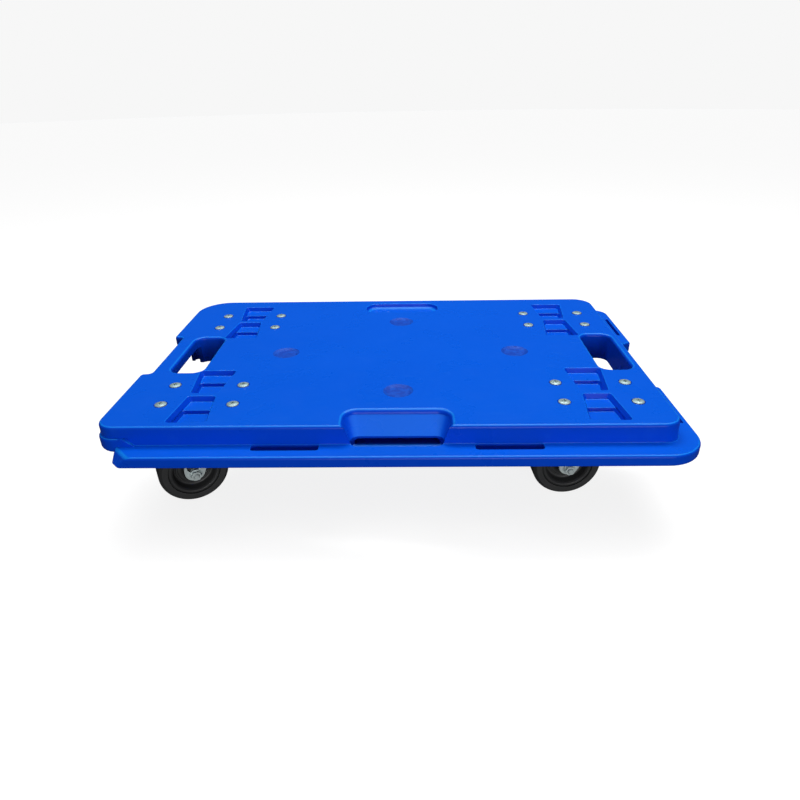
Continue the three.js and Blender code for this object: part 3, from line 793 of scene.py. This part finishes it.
def collars():
    """The rims that stand out around the hand holes on the underside."""
    made = []
    front, back = HOLE_FRONT - WALL, HOLE_BACK + WALL
    for x in HOLE_LEFT_EDGES:
        edge = rectangle(x - WALL, x + HOLE_WIDTH + WALL, front, back, HOLE_CORNER + WALL)
        made.append(slab(edge, DECK_BOTTOM - COLLAR, DECK_BOTTOM + LOWER_FILLET, bottom=1))
    return loft("collars", *made)


def finger_gap():
    edge = rectangle(-OVERHANG_X - PAST, LEFT_HOLE_X + HOLE_CORNER + 2, HOLE_FRONT + 3, HOLE_BACK - 3, 0)
    return loft("finger_gap", slab(edge, DECK_BOTTOM - COLLAR - PAST, LAP_BOTTOM))


def deck():
    made = joined(top_layer(), body(), ledge(), foot_cove(), collars(), *ears())
    cut(made, cells(), finger_gap(), hollow_behind_scoop())
    cut(made, through_cuts(), dish(), dimples(), plate_seats(), bolt_holes(), *pockets())
    made.data.materials.clear()
    made.data.materials.append(BLUE)
    made.data.materials.append(STIPPLED)
    for face in made.data.polygons:
        centre = face.center / MM
        for x, y in DIMPLES:
            inside = math.hypot(centre.x - x, centre.y - y) < DIMPLE_RADIUS - 0.2
            if inside and DECK_TOP - DIMPLE_DEPTH - 0.5 < centre.z < DECK_TOP - 0.15:
                face.material_index = 1
    smooth(made, 35)
    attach(made, "deck")
    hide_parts("deck")


deck()


# ---- Fasteners and casters ----


def finish_piece(piece, material, body_name, slot, *nodes):
    piece.data.materials.clear()
    piece.data.materials.append(material)
    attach(piece, body_name)
    if nodes:
        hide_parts(*nodes)
    return piece


def hexagon(name, radius, low, high, bore=0.0):
    """A hexagon head or nut whose corners are turned off at both ends."""
    bm = bmesh.new()
    points = [(radius * math.cos(k * math.pi / 3), radius * math.sin(k * math.pi / 3)) for k in range(6)]
    loft_into(bm, [(low, points), (high, points)])
    made = mesh_object(name, bm)
    face = radius * 0.93
    turned_off = [
        (0, low, 0),
        (face, low, 0),
        (radius + 0.2, low + 0.9, 0),
        (radius + 0.2, high - 0.9, 0),
        (face, high, 0),
        (0, high, 0),
    ]
    shared(made, turned(name + "_cone", turned_off, 48))
    if bore:
        cut(made, turned(name + "_bore", rod_section(bore, low - PAST, high + PAST), 32))
    return made


def deck_bolt(name, x, y):
    """A domed bolt head in its seat with a cross recess, and its nut and tip below the plate."""
    head = DECK_TOP - BOLT_SEAT_DEPTH + GAP
    nut_top = PLATE_BOTTOM - GAP
    nut_bottom = nut_top - 4.6
    section = [
        (0, nut_bottom - 0.6, 0),
        (BOLT_RADIUS, nut_bottom - 0.6, 0.5),
        (BOLT_RADIUS, head, 0),
        (BOLT_HEAD_RADIUS, head, 0.3),
        (BOLT_HEAD_RADIUS, head + 1.4, 0.7),
        (BOLT_HEAD_RADIUS * 0.6, head + 2.35, 6),
        (0, head + 2.6, 0),
    ]
    bolt = turned(f"bolt_{name}", section, 32, steps=5)
    along, over = 5.4, 1.2
    recess = [
        loft("recess", slab(centred(0, 0, length, width, 0.3), head + 1.1, head + 3))
        for length, width in ((along, over), (over, along))
    ]
    cut(bolt, joined(*recess))
    joined(bolt, hexagon("nut", HEX_RADIUS, nut_bottom, nut_top))
    placed(bolt, Matrix.Translation((x, y, 0)))
    smooth(bolt, 30)
    return bolt


for corner in CORNERS:
    king_x, king_y = KINGPINS[corner].to_2d()
    for number, (bolt_x, bolt_y, _) in enumerate(centred(king_x, king_y, 2 * BOLT_X, 2 * BOLT_Y), 1):
        label = f"{corner}_{number}"
        finish_piece(deck_bolt(label, bolt_x, bolt_y), DULL_ZINC, "deck", "zinc_steel", f"deck_bolt_{label}")


def top_plate():
    """The plate, with its bolt holes and the hole for the kingpin."""
    length = PLATE_HIGH.x - PLATE_LOW.x
    width = PLATE_HIGH.y - PLATE_LOW.y
    made = loft("caster_plate", slab(centred(0, 0, length, width, 6), PLATE_BOTTOM, PLATE_TOP, 0.5, 0.5))
    holes = [(x, y) for x, y, _ in centred(0, 0, 2 * BOLT_X, 2 * BOLT_Y)]
    bores = turned("bores", rod_section(BOLT_RADIUS + 0.3, PLATE_BOTTOM - 1, PLATE_TOP + 1), 24, holes)
    centre = turned("centre", rod_section(6.3, PLATE_BOTTOM - 1, PLATE_TOP + 1), 32)
    return smooth(cut(made, bores, centre))


def race_cups():
    lip = RACE_OUTER - 0.8
    upper = [
        (RACE_INNER, RACE_TOP - CUP_HEIGHT, 0.4),
        (lip, RACE_TOP - CUP_HEIGHT, 0.4),
        (RACE_OUTER, RACE_TOP, 0.4),
        (RACE_INNER, RACE_TOP, 0.4),
    ]
    lower = [
        (RACE_INNER, RACE_BOTTOM, 0.4),
        (RACE_OUTER, RACE_BOTTOM, 0.4),
        (lip, RACE_BOTTOM + CUP_HEIGHT, 0.4),
        (RACE_INNER, RACE_BOTTOM + CUP_HEIGHT, 0.4),
    ]
    bm = bmesh.new()
    for cup in (upper, lower):
        turned_into(bm, outline(cup, 0, 3), 56)
    return smooth(mesh_object("race_cups", bm))


def race_balls():
    bm = bmesh.new()
    middle = (RACE_TOP + RACE_BOTTOM) / 2
    for k in range(BALL_COUNT):
        angle = 2 * math.pi * k / BALL_COUNT
        x = BALL_CIRCLE * math.cos(angle)
        y = BALL_CIRCLE * math.sin(angle)
        ball = Matrix.Translation((x, y, middle))
        bmesh.ops.create_uvsphere(bm, u_segments=16, v_segments=10, radius=BALL_RADIUS, matrix=ball)
    return smooth(mesh_object("race_balls", bm), 60)


def kingpin():
    head = CROWN_BOTTOM - GAP - WASHER_HEIGHT - GAP
    section = [
        (0, head - 3, 0),
        (6.5, head - 3, 1.5),
        (9, head - 1, 1),
        (9, head, 0.3),
        (6, head, 0),
        (6, PLATE_TOP - GAP, 0.6),
        (0, PLATE_TOP - GAP, 0),
    ]
    return smooth(turned("kingpin", section, 40, steps=4))


def king_washer():
    low = CROWN_BOTTOM - GAP - WASHER_HEIGHT
    high = low + WASHER_HEIGHT
    section = [(6.3, low, 0.3), (11, low, 0.3), (11, high, 0.3), (6.3, high, 0.3)]
    return smooth(turned("king_washer", section, 40))


def leg_profile():
    """The fork's side view: shoulders under the crown, and a round foot about the axle."""
    foot = 11
    middle = WHEEL_RADIUS + 3.5
    return [
        (-23, CROWN_TOP + 1, 0),
        (-23, CROWN_TOP - 18, 6),
        (TRAIL - foot + 0.5, middle + 1, 12),
        (TRAIL - foot + 0.5, middle - foot, foot - 0.5),
        (TRAIL + foot, middle - foot, foot - 0.5),
        (TRAIL + foot, WHEEL_RADIUS + 8, 12),
        (23, CROWN_TOP - 2, 4),
        (23, CROWN_TOP + 1, 0),
    ]


def window_profile():
    return [
        (-6, CROWN_TOP - 15, 2.5),
        (TRAIL - 2, WHEEL_RADIUS + 3.5, 4),
        (TRAIL + 8, WHEEL_RADIUS + 3.5, 5),
        (TRAIL + 8, WHEEL_RADIUS + 13, 4),
        (17, CROWN_TOP - 15, 3),
    ]


def across(name, profile, half):
    """A profile in the plane of the wheel, (x, z), as a solid across the fork."""
    made = loft(name, [(-half, outline(profile)), (half, outline(profile))])
    return placed(made, Matrix.Rotation(math.pi / 2, 4, "X"))


def fork():
    """One bent sheet: a channel with rounded bends, cut to the legs' profile, and a round crown."""
    foot = WHEEL_RADIUS - 9
    bend = 5
    channel = [
        (-LEG_OUTER, foot, 0),
        (-LEG_INNER, foot, 0),
        (-LEG_INNER, CROWN_BOTTOM, bend - SHEET),
        (LEG_INNER, CROWN_BOTTOM, bend - SHEET),
        (LEG_INNER, foot, 0),
        (LEG_OUTER, foot, 0),
        (LEG_OUTER, CROWN_TOP, bend),
        (-LEG_OUTER, CROWN_TOP, bend),
    ]
    made = loft("fork", [(-24, outline(channel, 0, 6)), (TRAIL + 12, outline(channel, 0, 6))])
    placed(made, Matrix(((0, 0, 1, 0), (1, 0, 0, 0), (0, 1, 0, 0), (0, 0, 0, 1))))
    shared(made, across("legs", leg_profile(), 24))
    crown = [(13, CROWN_BOTTOM, 0.5), (26, CROWN_BOTTOM, 1), (26, CROWN_TOP, 1), (13, CROWN_TOP, 0.5)]
    joined(made, turned("crown", crown, 56))
    hole = rod_section(6.4, CROWN_BOTTOM - 1, CROWN_TOP + 1)
    bore = turned("bore", rod_section(AXLE_RADIUS + 0.3, -24, 24), 32)
    placed(bore, axle_matrix())
    cut(made, turned("hole", hole, 32), across("window", window_profile(), 24), bore)
    bevelled(made, 0.35, 50)
    return smooth(made, 40)


def axle_matrix():
    """From the wheel's own axis, Z, to its place on a fork that trails towards +X."""
    return Matrix.Translation((TRAIL, 0, WHEEL_RADIUS)) @ Matrix.Rotation(-math.pi / 2, 4, "X")


def tyre():
    half = TYRE_HALF
    radius = WHEEL_RADIUS
    section = [
        (radius - TYRE_WALL, -half, 0.8),
        (radius - 3.6, -half, 1.5),
        (radius, 4.5 - half, 4.5),
        (radius, half - 4.5, 4.5),
        (radius - 3.6, half, 1.5),
        (radius - TYRE_WALL, half, 0.8),
    ]
    return smooth(turned("tyre", section, 96, steps=6))


def wheel_core():
    """Rim, web and hub, with a raised ring in the web."""
    rim = WHEEL_RADIUS - TYRE_WALL - GAP
    upper = [
        (6.2, HUB_HALF, 0.5),
        (10.6, HUB_HALF, 0.8),
        (12.8, 6, 2.5),
        (16.6, 5.2, 0.8),
        (17.2, 6.4, 0.6),
        (18.6, 6.4, 0.6),
        (19.2, 4.6, 0.8),
        (21.2, 4.4, 2),
        (22.6, 12.4, 0.8),
        (24, 14.2, 1),
        (25.8, 14.4, 0.8),
        (rim, 13.6, 0.3),
    ]
    section = [(r, -z, f) for r, z, f in upper] + list(reversed(upper))
    return smooth(turned("wheel_core", section, 80, steps=4))


def axle_bush():
    half = LEG_INNER - GAP
    section = [(3.3, -half, 0.2), (5.8, -half, 0.3), (5.8, half, 0.3), (3.3, half, 0.2)]
    return smooth(turned("axle_bush", section, 32))


def axle_bolt():
    """A flanged hexagon bolt, whose thread shows beyond the nut."""
    seat = LEG_OUTER + GAP
    tip = seat + 7
    section = [(0, -seat - 1, 0), (AXLE_RADIUS, -seat - 1, 0), (AXLE_RADIUS, seat + 4, 0)]
    z = seat + 4
    while z < tip - 1.2:
        section += [(AXLE_RADIUS - 0.35, z + 0.25, 0), (AXLE_RADIUS, z + 0.5, 0)]
        z += 0.5
    section += [(AXLE_RADIUS - 0.8, tip, 0), (0, tip, 0)]
    made = turned("axle_bolt", section, 40)
    flange = [(0, -seat - 1.5, 0), (5.9, -seat - 1.5, 0.5), (FLANGE_RADIUS, -seat, 0.2), (0, -seat, 0)]
    joined(made, turned("flange", flange, 40), hexagon("head", HEX_RADIUS, -seat - 5, -seat - 1))
    return smooth(made, 30)


def axle_nut():
    seat = LEG_OUTER + GAP
    flange = [(3.3, seat, 0), (FLANGE_RADIUS, seat, 0.2), (5.9, seat + 1.5, 0.5), (3.3, seat + 1.5, 0)]
    made = hexagon("axle_nut", HEX_RADIUS, seat + 1, seat + 5, 3.3)
    return smooth(joined(made, turned("nut_flange", flange, 40)), 30)


MOUNTED = {
    "caster_plate": top_plate,
    "ball_race": race_cups,
    "race_balls": race_balls,
    "kingpin": kingpin,
    "king_washer": king_washer,
}
ON_AXLE = {
    "axle_bolt": axle_bolt,
    "axle_nut": axle_nut,
    "axle_bush": axle_bush,
    "wheel_core": wheel_core,
    "tyre": tyre,
}
LOOKS = {"wheel_core": (WHEEL_PLASTIC, "wheel_plastic"), "tyre": (RUBBER, "tyre_rubber")}


def caster(name):
    trail = AXLES[name] - KINGPINS[name]
    mounted = Matrix.Translation((KINGPINS[name].x, KINGPINS[name].y, 0))
    swivel = mounted @ Matrix.Rotation(math.atan2(trail.y, trail.x), 4, "Z")
    made = [(kind, build(), mounted, "deck") for kind, build in MOUNTED.items()]
    made.append(("fork", fork(), swivel, f"swivel_{name}"))
    for kind, build in ON_AXLE.items():
        body_name = f"wheel_{name}" if kind in LOOKS else f"swivel_{name}"
        made.append((kind, build(), swivel @ axle_matrix(), body_name))
    for kind, piece, matrix, body_name in made:
        placed(piece, matrix)
        material, slot = LOOKS.get(kind, (ZINC, "zinc_steel"))
        piece.name = f"fine_{kind}_{name}"
        node = "ball_race" if kind == "race_balls" else kind
        finish_piece(piece, material, body_name, slot, f"{node}_{name}")


for corner in CORNERS:
    caster(corner)


# ---- Studio: floor, backdrop, light and camera, in metres ----


def plain(name, colour, roughness, emission=0.0):
    made = bpy.data.materials.new(name)
    made.use_nodes = True
    shader = made.node_tree.nodes["Principled BSDF"]
    shader.inputs["Base Color"].default_value = (*colour, 1)
    shader.inputs["Roughness"].default_value = roughness
    shader.inputs["Specular IOR Level"].default_value = 0.0
    shader.inputs["Emission Color"].default_value = (1, 1, 1, 1)
    shader.inputs["Emission Strength"].default_value = emission
    return made


STUDIO_RADIUS = 9.0
CAMERA_PLACE = (0.0178, -0.6902, 0.4158)
CAMERA_ANGLES = (62.465, 0.906, 0.891)  # degrees
CAMERA_LENS = 27.79
CAMERA_SHIFT = -0.0023


def stage():
    bm = bmesh.new()
    bmesh.ops.create_circle(bm, cap_ends=True, segments=96, radius=STUDIO_RADIUS / MM)
    floor = mesh_object("studio_floor", bm)
    floor.data.materials.append(plain("studio_floor", (0.34, 0.34, 0.34), 1.0, 0.84))
    floor.visible_diffuse = False
    floor.visible_glossy = False
    bm = bmesh.new()
    bmesh.ops.create_uvsphere(bm, u_segments=64, v_segments=32, radius=STUDIO_RADIUS / MM)
    dome = mesh_object("studio_dome", bm)
    dome.data.materials.append(plain("studio_dome", (0.0, 0.0, 0.0), 1.0, 0.93))
    dome.visible_diffuse = False
    dome.visible_glossy = False
    dome.visible_shadow = False


def area_light(name, place, target, size, power, size_y=None):
    data = bpy.data.lights.new(name, "AREA")
    data.shape = "RECTANGLE"
    data.size = size
    data.size_y = size_y or size
    data.energy = power
    light = bpy.data.objects.new(name, data)
    light.location = place
    light.rotation_euler = (Vector(target) - Vector(place)).to_track_quat("-Z", "Y").to_euler()
    light.visible_camera = False
    scene.collection.objects.link(light)
    return light


def world_light():
    """Bright overhead and dim near the horizon, so that the deck's face stays clear of haze."""
    world = bpy.data.worlds.new("studio")
    scene.world = world
    world.use_nodes = True
    tree = world.node_tree
    coordinates = tree.nodes.new("ShaderNodeTexCoord")
    split = tree.nodes.new("ShaderNodeSeparateXYZ")
    ramp = tree.nodes.new("ShaderNodeMapRange")
    tree.links.new(coordinates.outputs["Generated"], split.inputs["Vector"])
    tree.links.new(split.outputs["Z"], ramp.inputs["Value"])
    ramp.inputs["From Min"].default_value = 0.75
    ramp.inputs["From Max"].default_value = 0.98
    ramp.inputs["To Min"].default_value = 0.04
    ramp.inputs["To Max"].default_value = 1.2
    background = tree.nodes["Background"]
    background.inputs["Color"].default_value = (1, 1, 1, 1)
    tree.links.new(ramp.outputs["Result"], background.inputs["Strength"])


def camera():
    data = bpy.data.cameras.new("camera")
    data.lens = CAMERA_LENS
    data.sensor_width = 36
    data.shift_x = CAMERA_SHIFT
    data.clip_start = 0.01
    made = bpy.data.objects.new("camera", data)
    made.location = CAMERA_PLACE
    made.rotation_euler = [math.radians(angle) for angle in CAMERA_ANGLES]
    scene.collection.objects.link(made)
    scene.camera = made


stage()
world_light()
area_light("key", (0.1, 0.32, 1.25), (0, -0.1, 0.1), 1.7, 8, 0.16)
area_light("overhead", (0.3, 0.45, 1.9), (0, 0, 0.1), 1.3, 10)
area_light("front_fill", (0.35, -2.0, 0.35), (0, 0, 0.08), 1.4, 17, 0.5)
camera()
scene.view_settings.view_transform = "Standard"
